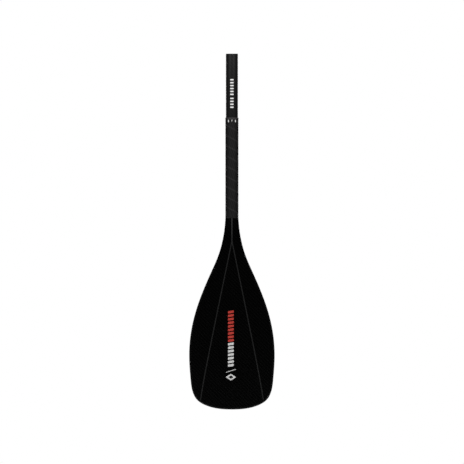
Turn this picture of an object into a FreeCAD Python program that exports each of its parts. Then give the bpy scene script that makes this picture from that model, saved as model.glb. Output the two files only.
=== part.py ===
"""Blade section of a take-apart stand-up paddle, in millimetres.

The origin is the centre of the shoulder plane, where the ferrule leaves the shaft. +Z runs along the shaft towards
the mating section, the power face looks along -Y, and the blade hangs down with its tip raked towards +Y.
"""

import FreeCAD
import Part
import Sketcher
import math
import os

V = FreeCAD.Vector
doc = FreeCAD.newDocument("paddle_blade_section")

# ---------------------------------------------------------------- driving dimensions

SIZES = [
    # shaft
    ("shaft_diameter", 29.0),        # outside of the wrap
    ("shaft_length", 220.0),         # shoulder plane to the top of the blade's neck
    ("wrap_thickness", 0.4),         # spiral-wound outer layer
    ("shaft_wall", 1.15),            # tube under the wrap
    ("ring_height", 4.0),            # stop ring between ferrule and shaft
    ("ring_chamfer", 0.4),
    ("foam_plug_length", 30.0),      # water stop in the shaft
    ("foam_plug_gap", 5.0),          # from the ferrule's lower end to the water stop
    # ferrule
    ("ferrule_diameter", 26.5),
    ("ferrule_wall", 2.0),
    ("ferrule_length", 140.0),       # above the shoulder, with the end plug's flange
    ("ferrule_bond_length", 80.0),   # glued into the shaft
    ("bond_gap", 0.05),              # glue line on each side of a bonded joint
    ("end_plug_flange", 1.5),
    ("end_plug_depth", 12.0),
    ("end_plug_step", 0.25),         # flange edge inside the ferrule's outside
    ("end_plug_rim", 3.0),           # raised rim round a shallow recess
    ("end_plug_recess", 0.5),
    # spigot between shaft and blade
    ("spigot_in_shaft", 70.0),
    ("spigot_in_neck", 60.0),
    ("spigot_parallel", 4.0),        # length in the neck before it tapers
    ("spigot_tip_diameter", 14.0),
    ("spigot_wall", 1.5),
    ("spigot_plug_length", 10.0),
    # blade
    ("blade_length", 419.5),         # seen square to the shaft
    ("blade_width", 187.2),
    ("throat_depth", 100.0),         # neck top to the start of the edge strip
    ("skin_thickness", 0.9),
    ("edge_thickness", 3.0),
    ("rail_width", 4.0),
    ("neck_lap", 0.2),               # the neck's shell laps the skins by this, outside and inside
    ("rake_angle", 10.0),            # degrees
    ("rake_blend", 110.0),           # length over which the neck bends to the rake
    ("spine_split", 50.0),           # neck top to where the spine line forks
    ("spine_half_width", 1.6),
    ("crease_end_offset", 71.8),     # crease to centre line at the tip
    ("scoop_depth", 1.0),            # hollow between the creases
    ("stringer_thickness", 2.5),
    # print, let into the surface under the lacquer
    ("print_depth", 0.15),
    ("tick_width", 2.2),
    ("tick_length", 5.2),
    ("tick_gap", 0.9),               # ring to ticks
    ("tick_spacing", 7.7),
    ("middle_tick_width", 1.2),
    ("middle_tick_length", 4.0),
    ("middle_tick_gap", 0.4),
    ("dash_width", 7.4),
    ("dash_height", 3.0),
    ("dash_pitch", 6.4),
    ("lower_dash_first", 22.8),      # shoulder to the middle of the lowest dash
    ("upper_dash_first", 50.9),      # and to the lowest one of the upper group
    ("badge_offset", -2.3),          # middle of the blade print from the centre line
    ("badge_width", 12.6),
    ("badge_top", 202.8),            # neck top to the upper end of the blade print
    ("bar_height", 5.2),
    ("bar_pitch", 7.8),
    ("bar_slant", 2.0),
    ("stroke_drop", 131.7),          # badge top to the middle of the long stroke
    ("stroke_width", 21.0),
    ("stroke_height", 1.4),
    ("stroke_slant", 7.0),
    ("diamond_drop", 145.6),         # badge top to the middle of the hollow diamond
    ("diamond_width", 22.0),
    ("diamond_height", 14.0),
    ("diamond_opening", 0.5),        # its open middle, as a share of its width and height
]

LOWER_DASHES = 4
UPPER_DASHES = 6
RED_BARS = 9
WHITE_BARS = 7

sizes = doc.addObject("Spreadsheet::Sheet", "sizes")
for row, (alias, value) in enumerate(SIZES, start=1):
    sizes.set(f"A{row}", alias)
    sizes.set(f"B{row}", str(value))
    sizes.setAlias(f"B{row}", alias)
doc.recompute()


def size(alias):
    """A driving dimension, read from the sheet."""
    return float(getattr(sizes, alias))


# ---------------------------------------------------------------- turned pieces

def origin_plane(body, role):
    """One of a body's own origin planes."""
    for feature in body.Origin.OriginFeatures:
        if feature.Role == role:
            return feature
    raise ValueError(role)


def place_vertex(sketch, line, name, axis, distance):
    """Fix a line's start point at a distance from an axis, bound to an expression. "0" puts it on the axis."""
    kind, on_axis = ("DistanceX", -2) if axis == "radius" else ("DistanceY", -1)
    if distance == "0":
        sketch.addConstraint(Sketcher.Constraint("PointOnObject", line, 1, on_axis))
        return
    start = sketch.Geometry[line].StartPoint
    index = sketch.addConstraint(Sketcher.Constraint(kind, -1, 1, line, 1, start.x if axis == "radius" else start.y))
    sketch.renameConstraint(index, name)
    sketch.setExpression("Constraints." + name, distance)


ROUGH_CENTRE = 20.0             # a profile's corners start on a circle, before their expressions move them
ROUGH_RADIUS = 5.0


def turned(label, base, *profiles):
    """A body turned about Z. Each profile is a list of (radius, height) expressions; base is its height in Z."""
    body = doc.addObject("PartDesign::Body", label)
    body.Label = label
    for number, profile in enumerate(profiles, start=1):
        sketch = body.newObject("Sketcher::SketchObject", f"{label}_profile_{number}")
        sketch.AttachmentSupport = [(origin_plane(body, "XZ_Plane"), "")]
        sketch.MapMode = "FlatFace"
        count = len(profile)
        rough = []
        for i in range(count):
            angle = 2 * math.pi * (i + 0.5) / count
            across = ROUGH_CENTRE - ROUGH_RADIUS * math.cos(angle)
            rough.append(V(across, ROUGH_CENTRE - ROUGH_RADIUS * math.sin(angle), 0))
        for i in range(count):
            sketch.addGeometry(Part.LineSegment(rough[i], rough[(i + 1) % count]), False)
        for i in range(count):
            sketch.addConstraint(Sketcher.Constraint("Coincident", i, 2, (i + 1) % count, 1))
        for i, (radius, height) in enumerate(profile):
            place_vertex(sketch, i, f"radius_{i}", "radius", radius)
            place_vertex(sketch, i, f"height_{i}", "height", height)
        turned_solid = body.newObject("PartDesign::Revolution", f"{label}_turned_{number}")
        turned_solid.Profile = sketch
        turned_solid.ReferenceAxis = (sketch, ["V_Axis"])
        turned_solid.Angle = 360
        sketch.Visibility = False
    body.setExpression("Placement.Base.z", base)
    return body


SHAFT_RADIUS = "sizes.shaft_diameter / 2"
TUBE_RADIUS = f"({SHAFT_RADIUS} - sizes.wrap_thickness)"
BORE_RADIUS = f"({TUBE_RADIUS} - sizes.shaft_wall)"
BOND_RADIUS = f"({BORE_RADIUS} - sizes.bond_gap)"
FERRULE_RADIUS = "sizes.ferrule_diameter / 2"
FERRULE_BORE = f"({FERRULE_RADIUS} - sizes.ferrule_wall)"
TUBE_LENGTH = "(sizes.shaft_length - sizes.ring_height)"

ferrule_top = "(sizes.ferrule_bond_length + sizes.ferrule_length - sizes.end_plug_flange)"
ferrule_blank = turned(
    "ferrule_blank",
    "-sizes.ferrule_bond_length",
    [
        (FERRULE_BORE, "0"),
        (BOND_RADIUS, "0"),
        (BOND_RADIUS, "sizes.ferrule_bond_length"),
        (FERRULE_RADIUS, "sizes.ferrule_bond_length"),
        (FERRULE_RADIUS, ferrule_top),
        (FERRULE_BORE, ferrule_top),
    ],
)

plug_top = "(sizes.end_plug_depth + sizes.end_plug_flange)"
plug_flange = f"({FERRULE_RADIUS} - sizes.end_plug_step)"
end_plug = turned(
    "ferrule_end_plug",
    "sizes.ferrule_length - sizes.end_plug_flange - sizes.end_plug_depth",
    [
        ("0", "0"),
        (f"({FERRULE_BORE} - sizes.bond_gap)", "0"),
        (f"({FERRULE_BORE} - sizes.bond_gap)", "sizes.end_plug_depth"),
        (plug_flange, "sizes.end_plug_depth"),
        (plug_flange, f"({plug_top} - sizes.end_plug_flange / 3)"),
        (f"({plug_flange} - sizes.end_plug_flange / 3)", plug_top),
        (f"({plug_flange} - sizes.end_plug_rim)", plug_top),
        (f"({plug_flange} - sizes.end_plug_rim - sizes.end_plug_recess)", f"({plug_top} - sizes.end_plug_recess)"),
        ("0", f"({plug_top} - sizes.end_plug_recess)"),
    ],
)

shoulder_ring = turned(
    "shoulder_ring",
    "-sizes.ring_height",
    [
        (BORE_RADIUS, "0"),
        (SHAFT_RADIUS, "0"),
        (SHAFT_RADIUS, "sizes.ring_height - sizes.ring_chamfer"),
        (f"{SHAFT_RADIUS} - sizes.ring_chamfer", "sizes.ring_height"),
        (BORE_RADIUS, "sizes.ring_height"),
    ],
)

shaft_tube = turned(
    "shaft_tube",
    "-sizes.shaft_length",
    [(BORE_RADIUS, "0"), (TUBE_RADIUS, "0"), (TUBE_RADIUS, TUBE_LENGTH), (BORE_RADIUS, TUBE_LENGTH)],
)

wrap_blank = turned(
    "wrap_blank",
    "-sizes.shaft_length",
    [(TUBE_RADIUS, "0"), (SHAFT_RADIUS, "0"), (SHAFT_RADIUS, TUBE_LENGTH), (TUBE_RADIUS, TUBE_LENGTH)],
)

foam_plug = turned(
    "shaft_foam_plug",
    "-sizes.ferrule_bond_length - sizes.foam_plug_gap - sizes.foam_plug_length",
    [("0", "0"), (BORE_RADIUS, "0"), (BORE_RADIUS, "sizes.foam_plug_length"), ("0", "sizes.foam_plug_length")],
)

spigot_parallel_low = "(sizes.spigot_in_neck - sizes.spigot_parallel)"
spigot_top = "(sizes.spigot_in_neck + sizes.spigot_in_shaft)"
spigot_tip_radius = "sizes.spigot_tip_diameter / 2"
spigot_tip_bore = f"({spigot_tip_radius} - sizes.spigot_wall)"
spigot_bore = f"({BOND_RADIUS} - sizes.spigot_wall)"
neck_spigot = turned(
    "neck_spigot",
    "-sizes.shaft_length - sizes.spigot_in_neck",
    [
        (spigot_tip_bore, "0"),
        (spigot_tip_radius, "0"),
        (BOND_RADIUS, spigot_parallel_low),
        (BOND_RADIUS, spigot_top),
        (spigot_bore, spigot_top),
        (spigot_bore, spigot_parallel_low),
    ],
)

spigot_plug = turned(
    "spigot_plug",
    "-sizes.shaft_length + sizes.spigot_in_shaft - sizes.spigot_plug_length",
    [
        ("0", "0"),
        (f"({spigot_bore} - sizes.bond_gap)", "0"),
        (f"({spigot_bore} - sizes.bond_gap)", "sizes.spigot_plug_length"),
        ("0", "sizes.spigot_plug_length"),
    ],
)

doc.recompute()

# ---------------------------------------------------------------- the blade's form
# Depth is measured down from the top of the neck. The blade is modelled with the neck top at Z = 0.

length = size("blade_length")
half_width = size("blade_width") / 2
neck_radius = size("shaft_diameter") / 2
throat = size("throat_depth")
half_edge = size("edge_thickness") / 2
skin = size("skin_thickness")

# Side of the blade as (share of the length, share of the half width), from under the neck to just above the tip.
SIDE_SHAPE = [
    (0.085, 0.195),
    (0.179, 0.295),
    (0.290, 0.502),
    (0.430, 0.762),
    (0.570, 0.938),
    (0.725, 1.000),
    (0.837, 0.970),
    (0.915, 0.907),
    (0.946, 0.829),
    (0.977, 0.626),
]


def smooth_curve(points, closed=False):
    """A spline through points."""
    curve = Part.BSplineCurve()
    curve.interpolate(Points=points, PeriodicFlag=closed)
    return curve


def mirrored_points(points):
    """Points down the right-hand side to the tip, then their mirror images back up the left."""
    return points + [V(-point.x, point.y, point.z) for point in points[-2::-1]]


def outline_curve():
    """The blade's outline, from the neck's right side round the tip to its left side."""
    points = [V(neck_radius, 0, 0)]
    for depth_share, width_share in SIDE_SHAPE:
        points.append(V(half_width * width_share, 0, -length * depth_share))
    points.append(V(0, 0, -length))
    return smooth_curve(mirrored_points(points))


OUTLINE = outline_curve()
TIP_PARAMETER = (OUTLINE.FirstParameter + OUTLINE.LastParameter) / 2


def side_at(depth):
    """Half width of the outline at a depth, found by halving the curve's range."""
    low, high = OUTLINE.FirstParameter, TIP_PARAMETER
    for _ in range(50):
        middle = (low + high) / 2
        if -OUTLINE.value(middle).z < depth:
            low = middle
        else:
            high = middle
    return OUTLINE.value((low + high) / 2).x


PANEL_HOLD = 0.8 * length       # below this the side panels run on straight instead of turning in with the tip
HOLD_STEP = 0.02 * length


def panel_half_width(depth):
    """Half width that the side panels are worked out for."""
    if depth <= PANEL_HOLD:
        return side_at(depth)
    slope = (side_at(PANEL_HOLD) - side_at(PANEL_HOLD - HOLD_STEP)) / HOLD_STEP
    return side_at(PANEL_HOLD) + slope * (depth - PANEL_HOLD)


def centre_line(depth):
    """Set-back of the blade's middle surface towards +Y: a gentle bend in the neck, then straight at the rake."""
    slope = math.tan(math.radians(size("rake_angle")))
    blend = size("rake_blend")
    if depth < blend:
        return slope * depth * depth / (2 * blend)
    return slope * (depth - blend / 2)


CREASE_BEND = 0.058             # share by which the creases run wide before they close towards the tip


def crease_offset(depth):
    """Distance of each crease from the centre line: one spine line above the fork, a V below it."""
    fork = size("spine_split")
    run = max(0.0, (depth - fork) / (length - fork))
    line = size("crease_end_offset") * run * (1 + CREASE_BEND - CREASE_BEND * run ** 6)
    return math.hypot(size("spine_half_width"), line)


FACE_FADE = 105.0               # depth over which the neck's roundness fades on the face
BACK_FADE = 135.0               # and on the back
BLADE_SWELL = 1.9               # half thickness that the blade has over its edge, in the middle
SCOOP_START = 15.0              # crease to centre line where the hollow has half its depth
SCOOP_FADE = 6                  # power with which the hollow runs out towards the tip
PANEL_CROWN = 0.25              # how far the side panels bulge over a straight line, as a share of their rise
BACK_CROWN = 0.45               # share of the back's rise that is crown; the rest is its spine
SPINE_SPREAD = 0.35             # the spine's width as a share of the blade's half width
SPINE_ROOT = 5.0                # and what it keeps besides


def middle_thickness(depth, fade):
    """Half thickness at the creases or along the back's spine."""
    blade = half_edge + BLADE_SWELL * (1 - (depth / length) ** 2)
    return blade + (neck_radius - blade) * math.exp(-((depth / fade) ** 2))


def face_height(x, depth):
    """Height of the power face over the middle surface: a shallow hollow between the creases, panels outside."""
    across = abs(x)
    crease = crease_offset(depth)
    top = middle_thickness(depth, FACE_FADE)
    if across <= crease:
        run_out = 1 - min(1.0, depth / length) ** SCOOP_FADE
        hollow = size("scoop_depth") * crease / (crease + SCOOP_START) * run_out
        return top - hollow * (1 - (across / crease) ** 2)
    v = (across - crease) / (panel_half_width(depth) - crease)
    return half_edge + (top - half_edge) * (1 - v) * (1 - PANEL_CROWN * v)


def back_height(x, depth):
    """Height of the back over the middle surface: a rounded spine that fades into a gentle crown."""
    wide = panel_half_width(depth)
    top = middle_thickness(depth, BACK_FADE)
    crown = BACK_CROWN * (1 - (x / wide) ** 2)
    spine = (1 - BACK_CROWN) * math.exp(-((x / (SPINE_SPREAD * wide + SPINE_ROOT)) ** 2))
    return half_edge + (top - half_edge) * (crown + spine)


# ---------------------------------------------------------------- lofts

def neck_section(depth, inset, lap):
    """Closed section of the neck: a circle at the top, a thin lens with a round nose at the throat."""
    share = depth / throat
    blend = share * share * (3 - 2 * share)
    wide = side_at(depth)
    nose_power = 2 * wide / half_edge       # makes the nose a round of half the edge's thickness
    roundness = 2 + (nose_power - 2) * share ** 2
    inset += lap * share ** 2
    middle = centre_line(depth)
    steps = 16

    def side_points(height, fade, sign):
        points = []
        for i in range(steps + 1):
            angle = math.pi * (i / steps - 0.5)
            u = math.sin(angle)
            rise = (1 - blend) * middle_thickness(depth, fade) + blend * height(u * wide, depth) - inset
            edge = math.sqrt(max(0.0, 1 - abs(u) ** roundness))
            points.append(V(u * (wide - inset), middle + sign * rise * edge, -depth))
        return points

    face = side_points(face_height, FACE_FADE, -1)
    back = side_points(back_height, BACK_FADE, 1)[::-1]
    ring = face + back[1:-1]
    seam = len(face) + steps // 2           # start in the middle of the back, away from the parting line
    return Part.Wire(smooth_curve(ring[seam:] + ring[:seam], closed=True).toShape())


SLAB_MARGIN = 1.0               # the slab stands out past the outline that trims it


def blade_section(depth, inset):
    """Closed section of a slab wider than the blade, with an edge at each crease."""
    wide = panel_half_width(depth) + SLAB_MARGIN
    crease = crease_offset(depth)
    middle = centre_line(depth)

    def face_edge(start, end, steps):
        points = []
        for i in range(steps + 1):
            x = start + (end - start) * i / steps
            points.append(V(x, middle - face_height(x, depth) + inset, -depth))
        return smooth_curve(points)

    back_points = []
    back_steps = 16
    for i in range(back_steps + 1):
        x = wide * (1 - 2 * i / back_steps)
        back_points.append(V(x, middle + back_height(x, depth) - inset, -depth))
    back = smooth_curve(back_points)
    left = face_edge(-wide, -crease, 5)
    centre = face_edge(-crease, crease, 6)
    right = face_edge(crease, wide, 5)
    right_end = Part.LineSegment(right.EndPoint, back.StartPoint)
    left_end = Part.LineSegment(back.EndPoint, left.StartPoint)
    edges = [left, centre, right, right_end, back, left_end]
    return Part.Wire([edge.toShape() for edge in edges])


NECK_STATIONS = [0.0, 0.12, 0.25, 0.4, 0.55, 0.7, 0.85, 1.0]
BLADE_STATIONS = [0.0, 0.1, 0.2, 0.32, 0.45, 0.6, 0.75, 0.88, 1.03]


def neck_loft(inset, lap):
    return Part.makeLoft([neck_section(throat * s, inset, lap) for s in NECK_STATIONS], True)


def blade_loft(inset):
    run = length - throat
    return Part.makeLoft([blade_section(throat + run * s, inset) for s in BLADE_STATIONS], True)


REACH = 200.0                   # half length of the cutting prisms, more than the blade is deep


def prism(wire):
    """A prism along Y through the whole blade, from a closed wire in the XZ plane."""
    face = Part.Face(wire)
    face.translate(V(0, -REACH, 0))
    return face.extrude(V(0, 2 * REACH, 0))


def closed_wire(curve):
    """Close a curve with a straight line between its ends."""
    return Part.Wire([curve.toShape(), Part.makeLine(curve.EndPoint, curve.StartPoint)])


def inset_curve(distance):
    """The outline moved inwards, at equal steps along it."""
    steps = 56
    points = []
    for place in OUTLINE.toShape().discretize(Number=steps + 1)[: steps // 2 + 1]:
        along = OUTLINE.tangent(OUTLINE.parameter(place))[0]
        points.append(place + V(along.z, 0, -along.x) * distance)
    points[-1].x = 0.0
    return smooth_curve(mirrored_points(points))


def front_half():
    """Everything in front of the middle surface."""
    end = 1.05 * length
    steps = 12
    line = [V(-REACH, centre_line(end * i / steps), -end * i / steps) for i in range(steps + 1)]
    curve = smooth_curve(line)
    corner_low = V(-REACH, -REACH, -end)
    corner_high = V(-REACH, -REACH, 0)
    edges = [
        curve.toShape(),
        Part.makeLine(line[-1], corner_low),
        Part.makeLine(corner_low, corner_high),
        Part.makeLine(corner_high, line[0]),
    ]
    return Part.Face(Part.Wire(edges)).extrude(V(2 * REACH, 0, 0))


outer_neck = neck_loft(0.0, -size("neck_lap"))
inner_neck = neck_loft(skin, size("neck_lap"))
outer_blade = blade_loft(0.0)
inner_blade = blade_loft(skin)
print_floor = blade_loft(size("print_depth"))
outline = prism(closed_wire(OUTLINE))
inset_outline = prism(closed_wire(inset_curve(size("rail_width"))))
front = front_half()

# ---------------------------------------------------------------- blade pieces


def one_solid(shape):
    """The shape's only solid."""
    if len(shape.Solids) != 1:
        raise ValueError(f"expected one solid, found {len(shape.Solids)}")
    return shape.Solids[0]


neck_shell = outer_neck.cut(inner_neck)
sheets = outer_blade.common(inset_outline).cut(inner_blade)
face_sheet, back_sheet = sorted(sheets.Solids, key=lambda solid: solid.CenterOfMass.y)
face_skin = one_solid(neck_shell.common(front).fuse(face_sheet))
back_skin = one_solid(neck_shell.cut(front).fuse(back_sheet))
rail = one_solid(outer_blade.common(outline).cut(inset_outline))


def stringer_prism(side):
    """A web under one crease, cut through the whole thickness of the blade."""
    half = size("stringer_thickness") / 2
    steps = 6
    depths = [throat + (length - throat) * i / steps for i in range(steps + 1)]
    outer_line = [V(side * (crease_offset(depth) + half), 0, -depth) for depth in depths]
    inner_line = [V(side * (crease_offset(depth) - half), 0, -depth) for depth in depths]
    edges = [
        smooth_curve(outer_line).toShape(),
        Part.makeLine(outer_line[-1], inner_line[-1]),
        smooth_curve(inner_line[::-1]).toShape(),
        Part.makeLine(inner_line[0], outer_line[0]),
    ]
    return prism(Part.Wire(edges))


filling = inner_blade.common(inset_outline)
webs = {"left": stringer_prism(-1), "right": stringer_prism(1)}
stringers = {name: one_solid(filling.common(web)) for name, web in webs.items()}
panels = filling.cut(webs["left"].fuse(webs["right"])).Solids
core_left, core_centre, core_right = sorted(panels, key=lambda solid: solid.CenterOfMass.x)

bond_radius = size("shaft_diameter") / 2 - size("wrap_thickness") - size("shaft_wall") - size("bond_gap")
spigot_tip = size("spigot_tip_diameter") / 2
parallel = size("spigot_parallel")
spigot_depth = size("spigot_in_neck")
spigot_profile = Part.makePolygon([
    V(0, 0, parallel),
    V(bond_radius, 0, parallel),
    V(bond_radius, 0, -parallel),
    V(spigot_tip, 0, -spigot_depth),
    V(0, 0, -spigot_depth),
    V(0, 0, parallel),
])
spigot_hole = Part.Face(spigot_profile).revolve(V(0, 0, 0), V(0, 0, 1), 360)
core_neck = one_solid(inner_neck.cut(spigot_hole))

# ---------------------------------------------------------------- print

badge_top = -size("badge_top")
badge_middle = size("badge_offset")


def bar(middle, width, height, slant):
    """A bar with slanted ends, centred across the badge, cut right through the blade."""
    left = badge_middle - width / 2
    right = badge_middle + width / 2
    low = middle - (height + slant) / 2
    high = middle + (height - slant) / 2
    corners = [V(left, 0, low), V(right, 0, low + slant), V(right, 0, high + slant), V(left, 0, high)]
    return prism(Part.makePolygon(corners + corners[:1]))


def diamond(middle, width, height):
    """A diamond, cut right through the blade."""
    corners = [
        V(badge_middle, 0, middle + height / 2),
        V(badge_middle + width / 2, 0, middle),
        V(badge_middle, 0, middle - height / 2),
        V(badge_middle - width / 2, 0, middle),
    ]
    return prism(Part.makePolygon(corners + corners[:1]))


def let_in(prisms):
    """Print let into the power face where prisms meet it."""
    skin_top = outer_blade.cut(print_floor).common(front)
    pieces = [skin_top.common(item) for item in prisms]
    return Part.makeCompound([solid for piece in pieces for solid in piece.Solids])


def bars(first, count):
    """Slanted bars in a column, counted down from the first one's number."""
    high = badge_top - size("bar_height") / 2
    return [
        bar(high - size("bar_pitch") * i, size("badge_width"), size("bar_height"), size("bar_slant"))
        for i in range(first, first + count)
    ]


stroke = bar(badge_top - size("stroke_drop"), size("stroke_width"), size("stroke_height"), size("stroke_slant"))
diamond_middle = badge_top - size("diamond_drop")
diamond_width = size("diamond_width")
diamond_height = size("diamond_height")
opening = size("diamond_opening")
opening_prism = diamond(diamond_middle, diamond_width * opening, diamond_height * opening)
hollow_diamond = diamond(diamond_middle, diamond_width, diamond_height).cut(opening_prism)
red_print = let_in(bars(0, RED_BARS))
white_print = let_in(bars(RED_BARS, WHITE_BARS) + [stroke, hollow_diamond])
face_skin = one_solid(face_skin.cut(red_print).cut(white_print))


def round_print(radius, boxes):
    """Print let into a round tube, where boxes of (left, right, low, high) meet its front."""
    depth = size("print_depth")
    low = min(box[2] for box in boxes)
    high = max(box[3] for box in boxes)
    outside = Part.makeCylinder(radius, high - low, V(0, 0, low))
    sleeve = outside.cut(Part.makeCylinder(radius - depth, high - low, V(0, 0, low)))
    solids = []
    for left, right, bottom, top in boxes:
        box = Part.makeBox(right - left, radius, top - bottom, V(left, -radius, bottom))
        solids += sleeve.common(box).Solids
    return Part.makeCompound(solids)


def centred_box(x, z, width, height):
    return (x - width / 2, x + width / 2, z - height / 2, z + height / 2)


def dash_group(first, count):
    """Dashes across the ferrule's front, counted up from the height of the lowest."""
    return [
        centred_box(0.0, first + size("dash_pitch") * i, size("dash_width"), size("dash_height"))
        for i in range(count)
    ]


def tick(x, gap, width, tall):
    """A tick that hangs at a gap below the stop ring."""
    return centred_box(x, -size("ring_height") - gap - tall / 2, width, tall)


dashes = dash_group(size("lower_dash_first"), LOWER_DASHES) + dash_group(size("upper_dash_first"), UPPER_DASHES)
ticks = [tick(side * size("tick_spacing"), size("tick_gap"), size("tick_width"), size("tick_length"))
         for side in (-1, 1)]
ticks.append(tick(0.0, size("middle_tick_gap"), size("middle_tick_width"), size("middle_tick_length")))

# ---------------------------------------------------------------- document objects


def shaped(label, shape, height=None):
    """A document object for a shape worked out above, placed at a height bound to the sheet."""
    feature = doc.addObject("Part::Feature", label)
    feature.Label = label
    feature.Shape = shape
    feature.Placement = FreeCAD.Placement()
    if height:
        feature.setExpression("Placement.Base.z", height)
    return feature


def recessed(label, blank, print_piece):
    """A turned piece with its print's recess cut out."""
    cut = doc.addObject("Part::Cut", label)
    cut.Label = label
    cut.Base = blank
    cut.Tool = print_piece
    return cut


ferrule_marks = shaped("ferrule_marks", round_print(size("ferrule_diameter") / 2, dashes))
index_marks = shaped("index_marks", round_print(size("shaft_diameter") / 2, ticks))
neck_top = "-sizes.shaft_length"
subparts = [
    recessed("ferrule_tube", ferrule_blank, ferrule_marks),
    ferrule_marks,
    end_plug,
    shoulder_ring,
    shaft_tube,
    recessed("shaft_wrap", wrap_blank, index_marks),
    index_marks,
    foam_plug,
    neck_spigot,
    spigot_plug,
    shaped("core_neck", core_neck, neck_top),
    shaped("core_centre", core_centre, neck_top),
    shaped("core_left", core_left, neck_top),
    shaped("core_right", core_right, neck_top),
    shaped("stringer_left", stringers["left"], neck_top),
    shaped("stringer_right", stringers["right"], neck_top),
    shaped("blade_face_skin", face_skin, neck_top),
    shaped("blade_back_skin", back_skin, neck_top),
    shaped("blade_rail", rail, neck_top),
    shaped("blade_mark_red", red_print, neck_top),
    shaped("blade_mark_white", white_print, neck_top),
]
doc.recompute()

# ---------------------------------------------------------------- checks and files

for item in doc.Objects:
    if "Invalid" in item.State or "Error" in item.State:
        raise ValueError(f"{item.Label} did not build: {item.State}")
for part in subparts:
    if part.Shape.isNull() or not part.Shape.isValid():
        raise ValueError(f"{part.Label} has no valid shape")

os.makedirs("parts", exist_ok=True)
for part in subparts:
    part.Shape.exportStep(f"parts/{part.Label}.step")
    box = part.Shape.optimalBoundingBox(True, False)
    print(f"{part.Label:18} {part.Shape.Volume:11.1f} mm3  solids {len(part.Shape.Solids)}"
          f"  z {box.ZMin:8.2f} {box.ZMax:8.2f}  y {box.YMin:7.2f} {box.YMax:7.2f}  x {box.XMin:7.2f} {box.XMax:7.2f}")
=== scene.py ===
# %% [markdown]
# # The blade section of a take-apart paddle
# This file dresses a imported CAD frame. The frame is loaded first and never moved. Each visible piece is
# then worked out as a surface with numpy, in the frame's own metres, so that it lands exactly where the
# solid is. The origin is the centre of the shoulder plane, +Z runs up the shaft, and the power face looks
# along -Y.

# %% Load the frame
import math

import bpy
import numpy as np
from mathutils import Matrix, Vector


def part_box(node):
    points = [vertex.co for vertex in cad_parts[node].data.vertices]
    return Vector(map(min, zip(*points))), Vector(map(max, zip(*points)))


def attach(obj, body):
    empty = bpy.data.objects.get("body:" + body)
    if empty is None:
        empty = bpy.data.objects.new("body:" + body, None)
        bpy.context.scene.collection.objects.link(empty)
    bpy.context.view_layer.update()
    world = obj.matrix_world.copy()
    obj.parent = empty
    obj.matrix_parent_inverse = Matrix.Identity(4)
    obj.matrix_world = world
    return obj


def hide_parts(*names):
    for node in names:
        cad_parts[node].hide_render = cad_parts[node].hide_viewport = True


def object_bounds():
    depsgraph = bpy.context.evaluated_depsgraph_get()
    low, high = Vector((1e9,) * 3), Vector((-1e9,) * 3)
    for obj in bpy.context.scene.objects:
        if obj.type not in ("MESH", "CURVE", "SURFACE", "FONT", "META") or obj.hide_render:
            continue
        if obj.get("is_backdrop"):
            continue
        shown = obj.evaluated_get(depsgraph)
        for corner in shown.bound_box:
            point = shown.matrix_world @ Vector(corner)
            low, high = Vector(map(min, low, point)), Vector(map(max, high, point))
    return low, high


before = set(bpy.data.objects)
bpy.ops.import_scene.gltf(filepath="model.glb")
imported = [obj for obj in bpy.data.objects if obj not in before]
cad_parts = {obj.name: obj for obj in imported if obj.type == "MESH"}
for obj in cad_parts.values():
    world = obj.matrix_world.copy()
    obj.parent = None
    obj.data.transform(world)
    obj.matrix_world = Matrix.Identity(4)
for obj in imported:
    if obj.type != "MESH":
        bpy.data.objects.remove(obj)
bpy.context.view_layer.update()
MM = 0.001

# %% [markdown]
# ## Sizes
# Places come from the boxes of the CAD nodes, so a changed solid moves its dress along with it. Only the
# form of the blade, which no box can tell, is repeated here as the same few numbers that the solids use.

# %% Read the tubes from the frame
def top_of(node):
    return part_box(node)[1].z


def bottom_of(node):
    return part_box(node)[0].z


def radius_of(node):
    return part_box(node)[1].x


SHAFT_RADIUS = radius_of("shaft_wrap")
FERRULE_RADIUS = radius_of("ferrule_tube")
TUBE_RADIUS = radius_of("shaft_tube")
RING_TOP = top_of("shoulder_ring")
RING_LOW = bottom_of("shoulder_ring")
NECK_TOP = bottom_of("shaft_wrap")
FERRULE_TOP = top_of("ferrule_tube")
FERRULE_WALL = 2.0 * MM
PLUG_TOP = top_of("ferrule_end_plug")
print(f"shaft {2 * SHAFT_RADIUS / MM:.1f} mm across, neck top at {NECK_TOP / MM:.1f} mm")

# %% [markdown]
# ## The blade's sizes
# A box tells how long and how wide the blade is, but not how it bends, so the few numbers that shape it are
# named here. Each is a length that a maker would quote, such as the width of the edge strip or the angle of
# the rake.

# %% Name the blade's sizes
BLADE_LENGTH = NECK_TOP - bottom_of("blade_rail")
HALF_WIDTH = radius_of("blade_rail")
THROAT = 100 * MM               # neck top to the start of the edge strip
HALF_EDGE = 1.5 * MM            # half thickness at the edge
SKIN = 0.9 * MM
RAIL_WIDTH = 4 * MM
RAKE = math.radians(10)
RAKE_BLEND = 110 * MM           # length over which the neck bends to the rake
SPINE_SPLIT = 50 * MM           # neck top to where the spine line forks
SPINE_HALF_WIDTH = 1.6 * MM
CREASE_END = 71.8 * MM          # crease to centre line at the tip
CREASE_BEND = 0.058             # share by which the creases run wide before they close towards the tip
SCOOP = 1.0 * MM                # hollow between the creases
SCOOP_START = 15 * MM           # crease to centre line where the hollow has half its depth
SCOOP_FADE = 6                  # power with which the hollow runs out towards the tip
SWELL = 1.9 * MM                # half thickness that the blade has over its edge, in the middle
FACE_FADE = 105 * MM            # depth over which the neck's roundness fades on the face
BACK_FADE = 135 * MM            # and on the back
PANEL_CROWN = 0.25              # how far the side panels bulge over a straight line, as a share of their rise
BACK_CROWN = 0.45               # share of the back's rise that is crown; the rest is its spine
SPINE_SPREAD = 0.35             # the spine's width as a share of the blade's half width
SPINE_ROOT = 5 * MM             # and what it keeps besides
RIB_HALF_WIDTH = 1.7 * MM
RIB_HEIGHT = 0.35 * MM
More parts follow.
